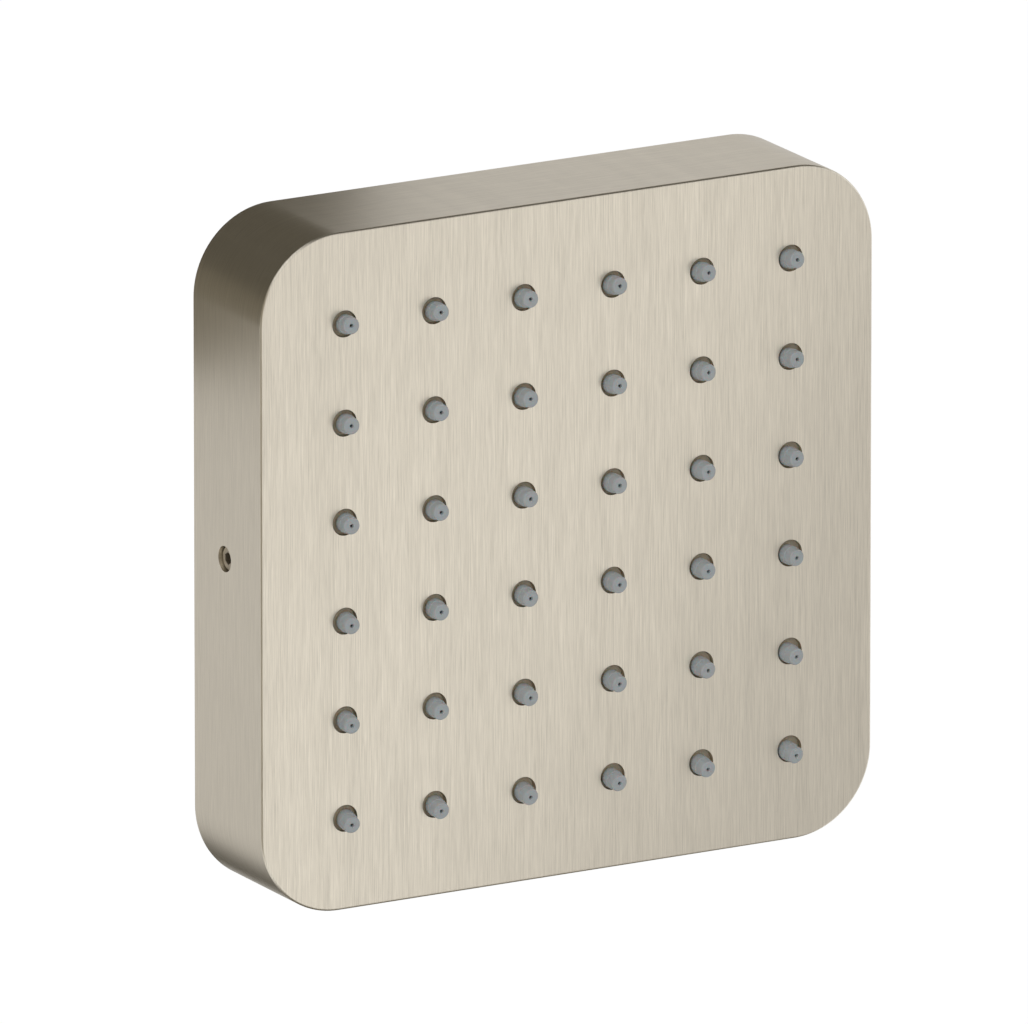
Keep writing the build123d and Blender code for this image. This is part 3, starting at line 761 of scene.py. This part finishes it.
class BODYJET_OT_stage(bpy.types.Operator):
    """Pale floor, soft light, reflected cards and the camera"""

    bl_idname = "bodyjet.stage"
    bl_label = "Stage"

    def execute(self, context):
        context.scene.view_settings.view_transform = "Standard"
        self.world(context)
        self.floor()
        self.cards()
        self.lamp("key_lamp", (1.1, -2.0, 1.7), size=1.4, power=18)
        self.lamp("fill_lamp", (-2.2, -1.2, 0.9), size=1.4, power=24)
        self.lamp("back_lamp", (0.6, 2.2, 1.5), size=1.4, power=14)
        self.camera(context)
        return {"FINISHED"}

    def seen(self, tree):
        """1 for what the camera sees directly, in metal or through glass, else 0."""
        path = tree.nodes.new("ShaderNodeLightPath")
        both = add(tree, "ShaderNodeMath", {"operation": "MAXIMUM"},
                   {0: (path, "Is Camera Ray"), 1: (path, "Is Glossy Ray")})
        return add(tree, "ShaderNodeMath", {"operation": "MAXIMUM"},
                   {0: (both, "Value"), 1: (path, "Is Transmission Ray")})

    def world(self, context):
        """Even light all round, white where it is seen."""
        world = bpy.data.worlds.new("studio")
        context.scene.world = world
        world.use_nodes = True
        tree = world.node_tree
        tree.nodes.clear()
        level = add(tree, "ShaderNodeMapRange", {},
                    {"Value": (self.seen(tree), "Value"), "To Min": 0.55, "To Max": 1.0})
        light = add(tree, "ShaderNodeBackground", {},
                    {"Color": (1, 1, 1, 1), "Strength": (level, "Result")})
        output = tree.nodes.new("ShaderNodeOutputWorld")
        tree.links.new(light.outputs["Background"], output.inputs["Surface"])

    def floor(self):
        """Wide white floor well below the block, which keeps a soft shadow."""
        only()
        bpy.ops.mesh.primitive_plane_add(size=30, location=(0, 0, -0.4))
        floor = bpy.context.object
        floor.name = "floor"
        material, tree, output = begin_material("painted_floor")
        paint = add(tree, "ShaderNodeBsdfDiffuse", {}, {"Color": (0.85, 0.85, 0.85, 1)})
        glow = add(tree, "ShaderNodeEmission", {}, {"Color": (1, 1, 1, 1), "Strength": 1.08})
        share = add(tree, "ShaderNodeMapRange", {},
                    {"Value": (self.seen(tree), "Value"), "To Min": 0.0, "To Max": 0.8})
        both = add(tree, "ShaderNodeMixShader", {},
                   {0: (share, "Result"), 1: (paint, "BSDF"), 2: (glow, "Emission")})
        tree.links.new(both.outputs["Shader"], output.inputs["Surface"])
        floor.data.materials.append(material)

    def card(self, name, low, high, level, tint, turn=0):
        """Flat card between two corners, turned about its facing axis, that only metal and gloss reflect."""
        card = new_block(low, high)
        card.name = name
        thin = min(range(3), key=lambda axis: high[axis] - low[axis])
        centre = (Vector(low) + Vector(high)) / 2
        spin = Matrix.Rotation(math.radians(turn), 4, "XYZ"[thin])
        card.data.transform(Matrix.Translation(centre) @ spin @ Matrix.Translation(-centre))
        material, tree, output = begin_material(name)
        glow = add(tree, "ShaderNodeEmission", {}, {"Color": [*linear(tint), 1], "Strength": level})
        tree.links.new(glow.outputs["Emission"], output.inputs["Surface"])
        card.data.materials.append(material)
        card.visible_camera = False
        card.visible_diffuse = False
        card.visible_transmission = False
        card.visible_shadow = False

    def cards(self):
        """Grey and dark cards that shape the reflections in the brushed metal."""
        grey, warm = "#FFFDFB", "#FFF3D9"
        # Behind the block: for the top, the left side and the corners between them
        self.card("card_back", (-0.8, 0.320, -0.7), (0.8, 0.322, 0.8), 0.67, grey)
        self.card("flag_upper_left", (-0.6, 0.120, 0.020), (0.040, 0.122, 0.6), 0.09, warm)
        self.card("flag_near_left", (-0.2, 0.055, 0.0150), (-0.06, 0.057, 0.060), 0.17, warm)
        self.card("flag_lower", (-0.13, 0.300, -0.39), (0.04, 0.302, -0.160), 0.05, warm)
        # Below, above and to the left: for the rounded edges and the holes
        self.card("flag_below", (-0.2, -0.25, -0.392), (0.3, 0.6, -0.390), 0.15, warm)
        self.card("flag_top", (-0.1, -0.6, 0.500), (0.7, 0.25, 0.502), 0.08, warm)
        self.card("flag_left", (-0.502, -0.6, -0.38), (-0.500, 0.1, 0.3), 0.3, warm)
        # In front: for the slanting light and shade on the front face
        self.card("card_front_left", (-0.1914, -0.332, -0.1296), (0.2086, -0.330, 0.2704),
                  0.84, grey, turn=45)
        self.card("card_front_middle", (0.121, -0.342, -0.323), (0.165, -0.340, 0.077),
                  1.25, grey, turn=45)
        self.card("card_front_right", (0.0690, -0.175, -0.3665), (0.4690, -0.174, 0.0335),
                  0.615, grey, turn=31)

    def lamp(self, name, place, size, power):
        """Square soft lamp aimed at the block; metal shows the cards in its stead."""
        only()
        bpy.ops.object.light_add(type="AREA", location=place)
        lamp = bpy.context.object
        lamp.name = name
        lamp.data.shape = "SQUARE"
        lamp.data.size = size
        lamp.data.energy = power
        lamp.rotation_euler = (-Vector(place)).to_track_quat("-Z", "Y").to_euler()
        lamp.visible_glossy = False

    def camera(self, context):
        """Long lens at the photograph's angle."""
        azimuth, elevation = math.radians(-29.392), math.radians(15.605)
        aim, distance = Vector((-10.691, -24.0, 6.032)) * MM, 5.0609
        away = Vector((math.sin(azimuth) * math.cos(elevation), -math.cos(azimuth) * math.cos(elevation),
                       math.sin(elevation)))
        only()
        bpy.ops.object.camera_add(location=aim + away * distance)
        camera = bpy.context.object
        camera.rotation_euler = (-away).to_track_quat("-Z", "Y").to_euler()
        camera.data.lens = 1037.3
        camera.data.sensor_width = 36
        camera.data.clip_start = 0.05
        camera.data.clip_end = 100
        context.scene.camera = camera


class BODYJET_PT_pieces(bpy.types.Panel):
    """Sizes, colours and build steps of the body jet"""

    bl_idname = "BODYJET_PT_pieces"
    bl_label = "Body jet"
    bl_space_type = "VIEW_3D"
    bl_region_type = "UI"
    bl_category = "Body jet"

    def draw(self, context):
        for group in (context.scene.body_jet_housing, context.scene.body_jet_nozzle,
                      context.scene.body_jet_finishes):
            box = self.layout.box()
            for name in group.__annotations__:
                box.prop(group, name)
        for operator in STEPS:
            self.layout.operator(operator.bl_idname)


GROUPS = {"body_jet_housing": HousingSizes, "body_jet_nozzle": NozzleSizes,
          "body_jet_finishes": Finishes}
STEPS = (BODYJET_OT_housing, BODYJET_OT_nozzles, BODYJET_OT_grub_screw, BODYJET_OT_inner_finishes,
         BODYJET_OT_stage)


def register():
    for group in GROUPS.values():
        bpy.utils.register_class(group)
    for name, group in GROUPS.items():
        setattr(bpy.types.Scene, name, PointerProperty(type=group))
    for step in STEPS:
        bpy.utils.register_class(step)
    bpy.utils.register_class(BODYJET_PT_pieces)


def unregister():
    bpy.utils.unregister_class(BODYJET_PT_pieces)
    for step in reversed(STEPS):
        bpy.utils.unregister_class(step)
    for name, group in GROUPS.items():
        delattr(bpy.types.Scene, name)
        bpy.utils.unregister_class(group)


def main():
    register()
    bpy.ops.bodyjet.housing()
    bpy.ops.bodyjet.nozzles()
    bpy.ops.bodyjet.grub_screw()
    bpy.ops.bodyjet.inner_finishes()
    bpy.ops.bodyjet.stage()
    only()


if __name__ == "__main__":
    main()
